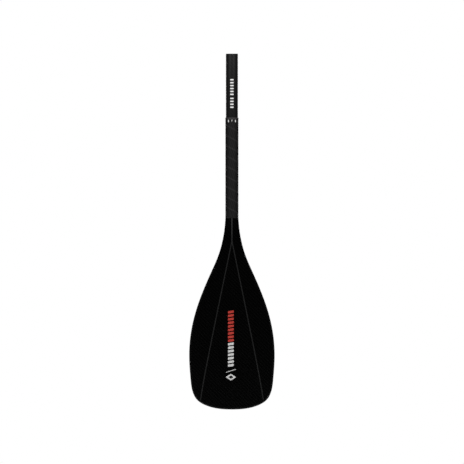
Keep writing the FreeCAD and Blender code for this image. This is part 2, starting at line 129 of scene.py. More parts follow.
RIB_RISE = 24 * MM              # length over which the spine rib rises
RIB_END = 403 * MM              # the ribs stop just short of the edge
RIB_RUN_OUT = 5 * MM            # and fade over this length
print(f"blade {BLADE_LENGTH / MM:.1f} mm long and {2 * HALF_WIDTH / MM:.1f} mm wide")

# %% [markdown]
# ## The outline
# A paddle's outline is one fair curve, drawn through a dozen points and mirrored. A cubic spline through
# points is found by asking that slope and bend agree at each point, which is one small set of linear
# equations. The ends take the slope of the cubic through their first four points. Blender has curve objects
# for this, but a function gives the same curve to the skins and the strip.

# %% A smooth path through points
def smooth_path(points, samples):
    """Cubic spline through points, spaced by the distance between them, read at evenly spaced parameters."""
    steps = np.linalg.norm(np.diff(points, axis=0), axis=1)
    at = np.concatenate([[0.0], np.cumsum(steps)])
    count = len(points)
    matrix = np.zeros((count, count))
    right = np.zeros_like(points)
    inner = np.arange(1, count - 1)
    matrix[inner, inner - 1] = 1 / steps[:-1]
    matrix[inner, inner] = 2 / steps[:-1] + 2 / steps[1:]
    matrix[inner, inner + 1] = 1 / steps[1:]
    rises = np.diff(points, axis=0) / steps[:, None]
    right[1:-1] = 3 * (rises[:-1] / steps[:-1, None] + rises[1:] / steps[1:, None])
    matrix[0, 0] = matrix[-1, -1] = 1
    for row, part in ((0, slice(0, 4)), (-1, slice(-4, None))):
        for axis in range(points.shape[1]):
            cubic = np.polyfit(at[part], points[part, axis], 3)
            right[row, axis] = np.polyval(np.polyder(cubic), at[row])
    slopes = np.linalg.solve(matrix, right)
    where = np.linspace(0, at[-1], samples)
    span = np.clip(np.searchsorted(at, where, side="right") - 1, 0, count - 2)
    h = steps[span][:, None]
    u = (where - at[span])[:, None] / h
    start, end = points[span], points[span + 1]
    return (
        start * (2 * u**3 - 3 * u**2 + 1)
        + end * (3 * u**2 - 2 * u**3)
        + slopes[span] * h * (u**3 - 2 * u**2 + u)
        + slopes[span + 1] * h * (u**3 - u**2)
    )


four_in_a_row = np.array([(0.0, 0.0), (1.0, 1.0), (2.0, 2.0), (3.0, 3.0)])
print("points in a row give a straight path, its middle at", smooth_path(four_in_a_row, 3)[1])

# %% [markdown]
# Ten points make one side of the blade. They are shares of its length and of its half width, so the shape
# holds when either size changes. The left side mirrors the right one, and the path runs round the tip in
# one go, which keeps the tip as smooth as the sides.

# %% Draw the outline
# Shares of the blade's length and of its half width.
SIDE_SHAPE = np.array([
    (0.085, 0.195),
    (0.179, 0.295),
    (0.290, 0.502),
    (0.430, 0.762),
    (0.570, 0.938),
    (0.725, 1.000),
    (0.837, 0.970),
    (0.915, 0.907),
    (0.946, 0.829),
    (0.977, 0.626),
])
OUTLINE_SAMPLES = 1600
SPLINE_SWELL = 1.0002           # the spline runs this much past its widest point
WIDEST = HALF_WIDTH / SPLINE_SWELL


def right_hand_outline():
    """(half width, depth below the neck top) from the neck to the middle of the tip."""
    side = np.column_stack([WIDEST * SIDE_SHAPE[:, 1], BLADE_LENGTH * SIDE_SHAPE[:, 0]])
    right = np.vstack([[SHAFT_RADIUS, 0.0], side, [0.0, BLADE_LENGTH]])
    left = right[-2::-1] * [-1, 1]
    return smooth_path(np.vstack([right, left]), 2 * OUTLINE_SAMPLES - 1)[:OUTLINE_SAMPLES]


OUTLINE = right_hand_outline()
ALONG = np.gradient(OUTLINE, axis=0)
ALONG /= np.linalg.norm(ALONG, axis=1)[:, None]
INWARD = np.column_stack([-ALONG[:, 1], ALONG[:, 0]])


def side_at(depth):
    return np.interp(depth, OUTLINE[:, 1], OUTLINE[:, 0])


print(f"outline {len(OUTLINE)} samples, widest {OUTLINE[:, 0].max() / MM:.2f} mm")

# %% [markdown]
# ## The blade's form
# Both faces are heights over one middle surface, which leaves the shaft straight and bends back to the
# rake. The power face has flat panels outside two creases and a shallow hollow between them. The back has a
# rounded spine that fades into a gentle crown. In the neck both faces melt into the round of the shaft.

# %% Where the surfaces lie
PANEL_HOLD = 0.8 * BLADE_LENGTH     # below this the side panels run on straight instead of turning in
HOLD_STEP = 0.02 * BLADE_LENGTH


def panel_half_width(depth):
    """The outline's half width, run on straight where the tip turns in."""
    hold = side_at(PANEL_HOLD)
    slope = (hold - side_at(PANEL_HOLD - HOLD_STEP)) / HOLD_STEP
    return np.where(depth <= PANEL_HOLD, side_at(depth), hold + slope * (depth - PANEL_HOLD))


def centre_line(depth):
    """Set-back towards +Y: a parabola over the bend, then a straight line at the rake."""
    slope = math.tan(RAKE)
    return np.where(depth < RAKE_BLEND, slope * depth**2 / (2 * RAKE_BLEND), slope * (depth - RAKE_BLEND / 2))


def rib_line(depth):
    """Distance of each rib from the centre: none above the fork, then a V that closes towards the tip."""
    run = np.clip((depth - SPINE_SPLIT) / (BLADE_LENGTH - SPINE_SPLIT), 0, None)
    return CREASE_END * run * (1 + CREASE_BEND - CREASE_BEND * run**6)


def crease_offset(depth):
    return np.hypot(SPINE_HALF_WIDTH, rib_line(depth))


def middle_thickness(depth, fade):
    """Half thickness along the spine: the shaft's radius fading into the blade's own thickness."""
    blade = HALF_EDGE + SWELL * (1 - (depth / BLADE_LENGTH) ** 2)
    return blade + (SHAFT_RADIUS - blade) * np.exp(-((depth / fade) ** 2))


print(f"the tip sits {centre_line(BLADE_LENGTH) / MM:.1f} mm behind the shaft's middle")

# %% [markdown]
# Thickness comes next. Each face has a height over the middle surface, as a formula of the place across the
# blade and the depth below the neck. The hollow of the power face lets water leave it evenly, and the
# back's spine is what stiffens the blade.

# %% How thick the blade is
def face_height(x, depth):
    """Hollow between the creases, flat panels outside them."""
    across = np.abs(x)
    crease = crease_offset(depth)
    top = middle_thickness(depth, FACE_FADE)
    run_out = 1 - np.minimum(1, depth / BLADE_LENGTH) ** SCOOP_FADE
    hollow = SCOOP * crease / (crease + SCOOP_START) * run_out
    inside = top - hollow * (1 - (across / crease) ** 2)
    v = (across - crease) / (panel_half_width(depth) - crease)
    outside = HALF_EDGE + (top - HALF_EDGE) * (1 - v) * (1 - PANEL_CROWN * v)
    return np.where(across <= crease, inside, outside)


def back_height(x, depth):
    """A crown that falls with the square of the distance, and a bell-shaped spine on it."""
    wide = panel_half_width(depth)
    top = middle_thickness(depth, BACK_FADE)
    crown = BACK_CROWN * (1 - (x / wide) ** 2)
    spine = (1 - BACK_CROWN) * np.exp(-((x / (SPINE_SPREAD * wide + SPINE_ROOT)) ** 2))
    return HALF_EDGE + (top - HALF_EDGE) * (crown + spine)


def smooth_step(value):
    value = np.clip(value, 0, 1)
    return value * value * (3 - 2 * value)


throat_thickness = face_height(0.0, THROAT) + back_height(0.0, THROAT)
print(f"the blade is {throat_thickness / MM:.1f} mm thick at the throat")

# %% [markdown]
# The neck has to be round where it meets the shaft and thin where the edge strip starts. Both are one
# curve, the superellipse: with a power of two it is a circle, and with a high power it is a flat lens with
# a tight nose. The ribs are a tape laid over the creases, and a half wave is its section.

# %% Blend the neck and raise the ribs
def rise(height, fade, x, depth):
    """Height with the neck's roundness: a circle at the top, a thin lens from the throat down."""
    share = np.clip(depth / THROAT, 0, 1)
    blend = smooth_step(share)
    wide = side_at(depth)
    roundness = 2 + (2 * wide / HALF_EDGE - 2) * share**2
    u = np.clip(np.abs(x) / np.maximum(wide, 1e-6), 0, 1)
    body = (1 - blend) * middle_thickness(depth, fade) + blend * height(x, depth)
    return body * np.sqrt(1 - u**roundness)


def rib(x, depth):
    """Cross-section of the ribs, from 0 to 1: a half wave over the spine line and the V."""
    off = (np.abs(x) - rib_line(depth)) / RIB_HALF_WIDTH
    wave = np.cos(np.clip(off, -1, 1) * math.pi / 2) ** 2
    return wave * smooth_step((RIB_END - depth) / RIB_RUN_OUT)


def face_y(x, depth):
    """The power face's place along Y. The ribs rise slowly out of the neck."""
    raised = RIB_HEIGHT * rib(x, depth) * smooth_step(depth / RIB_RISE)
    return centre_line(depth) - rise(face_height, FACE_FADE, x, depth) - raised


def back_y(x, depth):
    return centre_line(depth) + rise(back_height, BACK_FADE, x, depth)


print(f"at the neck top the face lies {-face_y(0.0, 0.0) / MM:.2f} mm in front of the middle")

# %% [markdown]
# ## Meshes from grids
# A surface here is a grid of points, so its faces are the squares between neighbours. One helper turns a
# stack of grids into a mesh. Columns that wrap close a tube, and rows that wrap close a ring.

# %% Grid to mesh
def grid_faces(rows, columns, wrap_rows=False, wrap_columns=True):
    """The squares of a grid, as indices into its points."""
    i = np.arange(rows if wrap_rows else rows - 1)[:, None]
    j = np.arange(columns if wrap_columns else columns - 1)[None, :]
    below, beside = (i + 1) % rows, (j + 1) % columns
    corners = [i * columns + j, i * columns + beside, below * columns + beside, below * columns + j]
    return np.stack(np.broadcast_arrays(*corners), axis=-1).reshape(-1, 4)


def build(name, grids, replaces=(), smooth_angle=35, extra_faces=(), attributes=None):
    """One object from grids, each (points, wrap_rows, wrap_columns, capped), riding on the root body."""
    points, faces, start = [], list(extra_faces), 0
    for grid, wrap_rows, wrap_columns, capped in grids:
        rows, columns = grid.shape[:2]
        points.append(grid.reshape(-1, 3))
        faces += (grid_faces(rows, columns, wrap_rows, wrap_columns) + start).tolist()
        if capped:
            faces.append(list(range(start + columns - 1, start - 1, -1)))
            last = start + (rows - 1) * columns
            faces.append(list(range(last, last + columns)))
        start += rows * columns
    mesh = bpy.data.meshes.new(name)
    mesh.from_pydata(np.vstack(points).tolist(), [], faces)
    for label, values in (attributes or {}).items():
        layer = mesh.attributes.new(label, "FLOAT", "POINT")
        layer.data.foreach_set("value", values.astype(np.float32).ravel())
    mesh.validate()
    mesh.shade_smooth()
    mesh.set_sharp_from_angle(angle=math.radians(smooth_angle))
    piece = bpy.data.objects.new(name, mesh)
    bpy.context.scene.collection.objects.link(piece)
    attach(piece, "root")
    if replaces:
        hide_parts(*replaces)
    print(f"{name}: {len(mesh.vertices)} points, {len(mesh.polygons)} faces")
    return piece


print("a tube of 3 rings with 4 points each has", len(grid_faces(3, 4)), "squares")

# %% [markdown]
# ## Turned pieces
# A lathe cuts one profile all the way round, so a turned piece is its profile plus one angle. Sharp corners
# are first eased with short arcs. Blender's Bevel modifier could do that too, but easing the profile gives
# exactly the same edge all round, and no modifier is left to keep.

# %% A profile turned about the shaft
ARC_STEPS = 5
LONGEST_EASE = 0.45             # an arc takes at most this share of the sides it joins


def round_corners(corners, radius):
    """A closed profile whose corners are rounded by quadratic arcs that start a radius away from each."""
    corners = np.array(corners, float)
    before, after = np.roll(corners, 1, axis=0), np.roll(corners, -1, axis=0)
    to_before = before - corners
    to_after = after - corners
    length_before = np.linalg.norm(to_before, axis=1)[:, None]
    length_after = np.linalg.norm(to_after, axis=1)[:, None]
    start = corners + to_before / length_before * np.minimum(radius, LONGEST_EASE * length_before)
    end = corners + to_after / length_after * np.minimum(radius, LONGEST_EASE * length_after)
    u = np.linspace(0, 1, ARC_STEPS)[None, :, None]
    arcs = start[:, None] * (1 - u) ** 2 + corners[:, None] * 2 * u * (1 - u) + end[:, None] * u**2
    return arcs.reshape(-1, 2)


def turned(profile, sides=128):
    """Grid of a profile of (radius, height) turned about Z. The profile climbs on the outside."""
    angle = np.linspace(0, 2 * math.pi, sides, endpoint=False)[None, :]
    radius, height = profile[:, 0:1], profile[:, 1:2]
    return np.stack([radius * np.cos(angle), radius * np.sin(angle), height + 0 * angle], axis=-1)


eased_square = round_corners([(0, 0), (1, 0), (1, 1), (0, 1)], 0.1)
print("an eased square has", len(eased_square), "points")

# %% [markdown]
# ## Ferrule, plug and stop ring
# The ferrule is the tube that slides into the next section. It steps out at the shoulder, because its lower
# end is glued into the shaft. Moulded and ground edges are never perfectly sharp, so each corner is eased
# by a few tenths of a millimetre, which is what catches the light on the real ones.

# %% Turn the ferrule
FERRULE_EASE = 0.25 * MM
ferrule_low = bottom_of("ferrule_tube")
ferrule_bore = FERRULE_RADIUS - FERRULE_WALL
bond_radius = radius_of("neck_spigot")
ferrule_profile = round_corners([
    (ferrule_bore, ferrule_low),
    (bond_radius, ferrule_low),
    (bond_radius, RING_TOP),
    (FERRULE_RADIUS, RING_TOP),
    (FERRULE_RADIUS, FERRULE_TOP),
    (ferrule_bore, FERRULE_TOP),
], FERRULE_EASE)
ferrule = build("ferrule_tube_dressed", [(turned(ferrule_profile), True, True, False)],
                ["ferrule_tube"])

# %% [markdown]
# The end plug is a moulded bung with a flange and a shallow recess. Its profile starts and ends near the
# middle, where a flat cap closes it, so that no sliver triangles meet in one point.

# %% Turn the end plug
GLUE_GAP = 0.05 * MM
PLUG_EASE = 0.45 * MM
plug_low = bottom_of("ferrule_end_plug")
plug_radius = radius_of("ferrule_end_plug")
plug_fit = ferrule_bore - GLUE_GAP
PLUG_RIM = 3.0 * MM             # raised rim round a shallow recess
PLUG_RECESS = 0.5 * MM
plug_corners = [
    (0.0, plug_low),
    (plug_fit, plug_low),
    (plug_fit, FERRULE_TOP),
    (plug_radius, FERRULE_TOP),
    (plug_radius, PLUG_TOP),
    (plug_radius - PLUG_RIM, PLUG_TOP),
    (plug_radius - PLUG_RIM - PLUG_RECESS, PLUG_TOP - PLUG_RECESS),
    (0.0, PLUG_TOP - PLUG_RECESS),
]
PLUG_MIDDLE = 0.5 * MM          # radius of the flat caps that close the profile's ends
plug_profile = np.vstack([
    [PLUG_MIDDLE, plug_low],
    round_corners(plug_corners, PLUG_EASE)[ARC_STEPS:-ARC_STEPS],
    [PLUG_MIDDLE, PLUG_TOP - PLUG_RECESS],
])
end_plug = build("ferrule_end_plug_dressed", [(turned(plug_profile), False, True, True)],
                 ["ferrule_end_plug"])

# %% [markdown]
# The stop ring sits on the shoulder and keeps the next section from wearing the wrap. It is as wide as the
# shaft, so only its paler plastic and its soft edges set it off.

# %% Turn the stop ring
RING_EASE = 0.5 * MM
RING_SIDES = 160
ring_bore = radius_of("shaft_foam_plug")
ring_profile = round_corners([
    (ring_bore, RING_LOW),
    (SHAFT_RADIUS, RING_LOW),
    (SHAFT_RADIUS, RING_TOP),
    (ring_bore, RING_TOP),
], RING_EASE)
ring = build("shoulder_ring_dressed", [(turned(ring_profile, RING_SIDES), True, True, False)],
             ["shoulder_ring"])

# %% [markdown]
# ## The spiral wrap
# The shaft is wound with two tapes of carbon cloth side by side. Where a tape's edge laps its neighbour the
# skin is a tenth of a millimetre thicker, so the surface is a tube whose radius swells in a narrow band
# along a left-handed helix. A grid finer than the band shows it as real shape.

# %% Wind the wrap
TAPE_LEAD = 44.6 * MM           # climb of one tape in one turn
TAPES = 2
TAPE_PITCH = TAPE_LEAD / TAPES
TAPE_START = 1.3 * MM           # height of a seam over the shoulder at the front
LAP_WIDTH = 3.2 * MM
LAP_HEIGHT = 0.12 * MM
LAP_SOFTNESS = 0.3              # share of a lap's half width over which it rises
LACQUER = 0.04 * MM             # the laps stay this much inside the shaft's full radius
WRAP_SIDES = 176
WRAP_ROWS = 400
WRAP_CRISP = 50                 # only the tube's ends turn by more than this many degrees


def lap_band(angle, height):
    """1 along the middle of each lap, 0 outside it. Angle is measured from the front towards +X."""
    turns = (height + TAPE_START + TAPE_LEAD * angle / (2 * math.pi)) / TAPE_PITCH
    off = np.abs(turns - np.round(turns)) * TAPE_PITCH / (LAP_WIDTH / 2)
    return smooth_step((1 + LAP_SOFTNESS / 2 - off) / LAP_SOFTNESS)


def wrap_grid():
    """Rows climb the shaft and columns go round it; the ends turn in to meet the tube."""
    angle = np.linspace(0, 2 * math.pi, WRAP_SIDES, endpoint=False)[None, :]
    height = np.linspace(NECK_TOP, RING_LOW, WRAP_ROWS)[:, None]
    radius = SHAFT_RADIUS - LACQUER - LAP_HEIGHT * (1 - lap_band(angle, height))
    outer = np.stack([radius * np.sin(angle), -radius * np.cos(angle), height + 0 * angle], axis=-1)
    low, high = outer[:1].copy(), outer[-1:].copy()
    for end in (low, high):
        end[..., 0] = TUBE_RADIUS * np.sin(angle)
        end[..., 1] = -TUBE_RADIUS * np.cos(angle)
    return np.concatenate([low, outer, high], axis=0)


wrap = build("shaft_wrap_dressed", [(wrap_grid(), True, True, False)], ["shaft_wrap"],
             WRAP_CRISP)

# %% [markdown]
# ## The blade's skins
# A skin is a grid whose rows start straight across the neck and bend, towards the tip, into the curve of
# the bottom edge. Its columns follow the ribs, so that the ribs stay crisp. A skin stops where the edge
# strip begins, and in the neck the two skins meet at the parting line.

# %% Lay out the skins' grid
HOLD_ROWS = 150                 # rows down to where the tip turns in
TIP_ROWS = 52
CENTRE_COLUMNS = 10
RIB_COLUMNS = 8
SIDE_COLUMNS = 24
RAIL_START = 8 * MM             # length over which the edge strip grows to its full width
RAIL_ROOM = 1 * MM              # panel kept between a rib and the strip
MIDDLE_GAP = 0.4 * MM           # the first column past the middle never comes closer than this
ROW_TRIES = 4                   # a rib's place and its row's bend depend on each other, and soon settle


def rail_width_at(depth):
    return RAIL_WIDTH * smooth_step((depth - THROAT) / RAIL_START)


SKIN_EDGE = OUTLINE + INWARD * rail_width_at(OUTLINE[:, 1:2])


def skin_layout():
    """(x, depth) of every grid point, from the left edge to the right."""
    turn = np.argmax((np.abs(ALONG[:, 0]) > np.abs(ALONG[:, 1])) & (OUTLINE[:, 1] > PANEL_HOLD))
    corner_x, corner_depth = SKIN_EDGE[turn]
    level = np.concatenate([
        np.linspace(0, PANEL_HOLD, HOLD_ROWS, endpoint=False),
        np.linspace(PANEL_HOLD, corner_depth, TIP_ROWS),
    ])
    side = np.interp(level, SKIN_EDGE[: turn + 1, 1], SKIN_EDGE[: turn + 1, 0])
    bent = np.clip((level - PANEL_HOLD) / (corner_depth - PANEL_HOLD), 0, 1)
    bottom_x, bottom_depth = SKIN_EDGE[turn:][::-1].T

    def row_depth(x):
        bottom = np.interp(x * corner_x / side[:, None], bottom_x, bottom_depth)
        return level[:, None] + bent[:, None] * (bottom - corner_depth)

    line = rib_line(level)[:, None]
    for _ in range(ROW_TRIES):
        line = rib_line(row_depth(line))
    inner = np.hypot(MIDDLE_GAP, np.maximum(line - RIB_HALF_WIDTH, 0))
    outer = np.minimum(line + RIB_HALF_WIDTH, side[:, None] - RAIL_ROOM)
    centre = np.linspace(0, 1, CENTRE_COLUMNS, endpoint=False) * inner
    ribs = inner + np.linspace(0, 1, RIB_COLUMNS, endpoint=False) * (outer - inner)
    spread = np.sin(np.linspace(0, math.pi / 2, SIDE_COLUMNS))
    panel = outer + spread * (side[:, None] - outer)
    right = np.hstack([centre, ribs, panel])
    x = np.hstack([-right[:, :0:-1], right])
    return x, row_depth(np.abs(x))


SKIN_X, SKIN_DEPTH = skin_layout()
print(f"skin grid {SKIN_X.shape[0]} rows by {SKIN_X.shape[1]} columns")

# %% [markdown]
# A skin is a sheet with two sides. The inner side is the outer one moved in by the skin's thickness, and
# the two are joined along their edges, so that each skin is a closed piece that could be picked up. The
# power face also carries a number at each point that says how far up a rib it is, for the finish to read.

# %% Build the two skins
SKIN_SHARE = 0.6                # near the parting line a skin takes at most this share of the room
CRISP = 32                      # a skin's ribs and edges turn by more than this many degrees


def skin_grid(surface_y, toward):
    """The outer surface there and one set back by the skin's thickness back again, so columns wrap round."""
    outer_y = surface_y(SKIN_X, SKIN_DEPTH)
    room = np.abs(outer_y - centre_line(SKIN_DEPTH))
    inner_y = outer_y + toward * np.minimum(SKIN, SKIN_SHARE * room)
    outer = np.stack([SKIN_X, outer_y, NECK_TOP - SKIN_DEPTH], axis=-1)
    inner = np.stack([SKIN_X, inner_y, NECK_TOP - SKIN_DEPTH], axis=-1)
    return np.concatenate([outer, inner[:, ::-1]], axis=1)


def end_caps(rows, columns):
    """A skin is a flattened tube: squares between its two sheets close its first and its last row."""
    j = np.arange(columns // 2 - 1)
    square = np.stack([j, columns - 1 - j, columns - 2 - j, j + 1], axis=-1)
    last = square[:, ::-1] + (rows - 1) * columns
    return square.tolist() + last.tolist()


face_sheet = skin_grid(face_y, 1)[::-1]
back_sheet = skin_grid(back_y, -1)
face_rib = rib(SKIN_X, SKIN_DEPTH)
face_ribs = np.concatenate([face_rib, 0 * face_rib], axis=1)[::-1]
CAPS = end_caps(*face_sheet.shape[:2])
face_skin = build("blade_face_skin_dressed", [(face_sheet, False, True, False)],
                  ["blade_face_skin"], CRISP, CAPS, {"rib": face_ribs})
back_skin = build("blade_back_skin_dressed", [(back_sheet, False, True, False)],
                  ["blade_back_skin"], CRISP, CAPS)

# %% [markdown]
# ## The edge strip
# The strip is one profile carried along the outline, from one side of the throat round the tip to the
# other. Its nose is half a circle as thick as the blade's edge, and its inner wall butts against skins and
# foam.

# %% Carry the edge strip round the blade
RAIL_STEPS = 10                 # columns from the nose to the inner wall
RAIL_CROWDING = 2.2             # power that crowds those columns towards the nose
RAIL_FIRST = 0.15               # the strip begins where it has grown for this share of its start
RAIL_SEAM = 0.06 * MM           # the strip sits this much below the skins along their joint
RAIL_STRIDE = 6                 # one row for this many samples of the outline
RAIL_CRISP = 40


def rail_grid():
    """Rows run along the outline and columns round the profile: face, nose, back, then the inner wall."""
    first = np.argmax(OUTLINE[:, 1] > THROAT + RAIL_FIRST * RAIL_START)
    chosen = np.append(np.arange(first, OUTLINE_SAMPLES - 1, RAIL_STRIDE), OUTLINE_SAMPLES - 1)
    place, inward = OUTLINE[chosen], INWARD[chosen]
    widths = rail_width_at(place[:, 1:2])
    share = np.linspace(1, 0, RAIL_STEPS + 1) ** RAIL_CROWDING
    share = np.concatenate([share, share[-2::-1]])[None, :]
    set_in = widths * share
    x = place[:, 0:1] + inward[:, 0:1] * set_in
    depth = place[:, 1:2] + inward[:, 1:2] * set_in
    nose = np.sqrt(1 - (1 - np.minimum(set_in / HALF_EDGE, 1)) ** 2)
    on_face = np.arange(share.shape[1])[None, :] <= RAIL_STEPS
    seam = RAIL_SEAM * (share == 1)
    front = centre_line(depth) - (face_height(x, depth) - seam) * nose
    back = centre_line(depth) + (back_height(x, depth) - seam) * nose
    right = np.stack([x, np.where(on_face, front, back), NECK_TOP - depth], axis=-1)
    left = right[-2::-1] * [-1, 1, 1]
    return np.concatenate([right, left], axis=0)


rail = build("blade_rail_dressed", [(rail_grid()[:, ::-1], False, True, True)],
             ["blade_rail"], RAIL_CRISP)

# %% [markdown]
# ## Print
# The marks are thin printed patches. Each is a superellipse, a curve between an oval and a box, so that its
# corners are slightly round, and it is laid on the surface below it by asking that surface for its place.
# Plain bars, dashes and a hollow diamond stand where a maker would put a name.

# %% Lay patches on a surface
INK = 0.03 * MM                 # how far the ink stands on the surface
INK_ROOT = 0.10 * MM            # how far the patch reaches below it
BAR_POWER = 9.0                 # superellipse powers: a bar, a tick with rounder corners, a diamond
TICK_POWER = 4.0
DIAMOND_POWER = 1.1


def patch(place, centre, half, power=BAR_POWER, slant=0.0, hole=0.0, sides=64):
    """Rings from the patch's foot over its edge to its middle, or to the rim of its hole."""
    angle = np.linspace(0, 2 * math.pi, sides, endpoint=False)[None, :]
    size = (np.abs(np.cos(angle)) ** power + np.abs(np.sin(angle)) ** power) ** (-1 / power)
    if hole:
        rings = np.array([1, 1, hole, hole])[:, None]
        lift = np.array([-INK_ROOT, INK, INK, -INK_ROOT])[:, None]
    else:
        rings = np.array([1, 1, 0.8, 0.6, 0.4, 0.2])[:, None]
        lift = np.array([-INK_ROOT, INK, INK, INK, INK, INK])[:, None]
    u = half[0] * rings * size * np.cos(angle)
    v = half[1] * rings * size * np.sin(angle) + slant * u / half[0]
    points = place(centre[0] + u, centre[1] + v, lift + 0 * angle)
    return points, bool(hole), True, not hole


def on_face(x, z, lift):
    """A place on the power face, lifted towards -Y."""
    return np.stack([x, face_y(x, NECK_TOP - z) - lift, z], axis=-1)


def on_tube(radius):
    """A function that lays flat sizes round the front of a tube."""
    def place(u, z, lift):
        angle = u / radius
        reach = radius + lift
        return np.stack([reach * np.sin(angle), -reach * np.cos(angle), z + 0 * angle], axis=-1)
    return place


print(f"ink stands {INK / MM:.2f} mm proud")

# %% [markdown]
# The ferrule's print is a column of dashes in two groups, and three ticks under the ring help the eye to
# line the sections up. Both lie on round tubes, so a flat width becomes an angle.

# %% Print the dashes and the ticks
DASH_HALF = (3.7 * MM, 1.5 * MM)
DASH_PITCH = 6.4 * MM
DASH_GROUPS = ((22.8 * MM, 4), (50.9 * MM, 6))
dash_heights = [start + DASH_PITCH * i for start, count in DASH_GROUPS for i in range(count)]
ferrule_place = on_tube(FERRULE_RADIUS)
dashes = [patch(ferrule_place, (0.0, height), DASH_HALF) for height in dash_heights]
ferrule_marks = build("ferrule_marks_dressed", dashes, ["ferrule_marks"])

TICK_SPACING = 7.7 * MM
TICK_HALF = (1.1 * MM, 2.6 * MM)
TICK_LOW = bottom_of("index_marks")
MIDDLE_TICK_TOP = top_of("index_marks")
MIDDLE_TICK_HALF = (0.6 * MM, 2.0 * MM)
shaft_place = on_tube(SHAFT_RADIUS - INK)
ticks = []
for side in (-1, 1):
    across = SHAFT_RADIUS * math.asin(TICK_SPACING * side / SHAFT_RADIUS)
    ticks.append(patch(shaft_place, (across, TICK_LOW + TICK_HALF[1]), TICK_HALF, TICK_POWER))
middle_tick = (0.0, MIDDLE_TICK_TOP - MIDDLE_TICK_HALF[1])
ticks.append(patch(shaft_place, middle_tick, MIDDLE_TICK_HALF, TICK_POWER))
index_marks = build("index_marks_dressed", ticks, ["index_marks"])

# %% [markdown]
# The blade's print is one column of slanted bars, nine red above seven white, then a long thin stroke and a
# hollow diamond. Every one is a patch with its own half sizes, slant and power, asked to lie on the power
# face.

# %% Print the bars, the stroke and the diamond
RED_BARS = 9
WHITE_BARS = 7
badge_low, badge_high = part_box("blade_mark_red")
BADGE_X = (badge_low.x + badge_high.x) / 2
BADGE_HALF = badge_high.x - BADGE_X
BAR_PITCH = 7.8 * MM
BAR_HEIGHT = 5.2 * MM
BAR_SLANT = 2.0 * MM
STROKE_DROP = 131.7 * MM
STROKE_HALF = (10.5 * MM, 0.7 * MM)
STROKE_SLANT = 7.0 * MM
DIAMOND_DROP = 145.6 * MM
DIAMOND_HALF = (11.0 * MM, 7.0 * MM)
DIAMOND_OPENING = 0.5           # its open middle, as a share of its size
BADGE_DROP = 202.8 * MM         # neck top to the upper end of the print
BADGE_TOP = NECK_TOP - BADGE_DROP


def bar(number):
    middle = BADGE_TOP - BAR_HEIGHT / 2 - BAR_PITCH * number
    return patch(on_face, (BADGE_X, middle), (BADGE_HALF, BAR_HEIGHT / 2), slant=BAR_SLANT / 2)


red_bars = [bar(i) for i in range(RED_BARS)]
white_bars = [bar(i) for i in range(RED_BARS, RED_BARS + WHITE_BARS)]
stroke = patch(on_face, (BADGE_X, BADGE_TOP - STROKE_DROP), STROKE_HALF, slant=STROKE_SLANT / 2)
diamond = patch(on_face, (BADGE_X, BADGE_TOP - DIAMOND_DROP), DIAMOND_HALF, DIAMOND_POWER,
                hole=DIAMOND_OPENING, sides=96)
mark_red = build("blade_mark_red_dressed", red_bars, ["blade_mark_red"])
mark_white = build("blade_mark_white_dressed", white_bars + [stroke, diamond],
                   ["blade_mark_white"])

# %% [markdown]
# ## Writing materials as formulas
# A procedural material is arithmetic on the surface's coordinates. The class below wraps one output of a
# node, and adding or multiplying two of them adds the Math node that does it, so that a pattern reads as a
# formula.

# %% A socket that does arithmetic
class Value:
    """One output socket of a material, with Python's operators."""

    def __init__(self, material, socket):
        self.material = material
        self.socket = socket

    def math(self, operation, *others):
        return self.material.add("ShaderNodeMath", {"operation": operation}, {
            i: value for i, value in enumerate((self, *others))
        })

    def __add__(self, other):
        return self.math("ADD", other)

    def __mul__(self, other):
        return self.math("MULTIPLY", other)

    def __sub__(self, other):
        return self.math("SUBTRACT", other)

    def __truediv__(self, other):
        return self.math("DIVIDE", other)

    def __rsub__(self, other):
        return self.material.add("ShaderNodeMath", {"operation": "SUBTRACT"}, {0: other, 1: self})

    def __rtruediv__(self, other):
        return self.material.add("ShaderNodeMath", {"operation": "DIVIDE"}, {0: other, 1: self})

    __radd__ = __add__
    __rmul__ = __mul__

    def step(self, low, high):
        """0 below low, 1 above high, smooth between."""
        return self.material.add("ShaderNodeMapRange", {"interpolation_type": "SMOOTHSTEP"}, {
            "Value": self, "From Min": low, "From Max": high,
        })


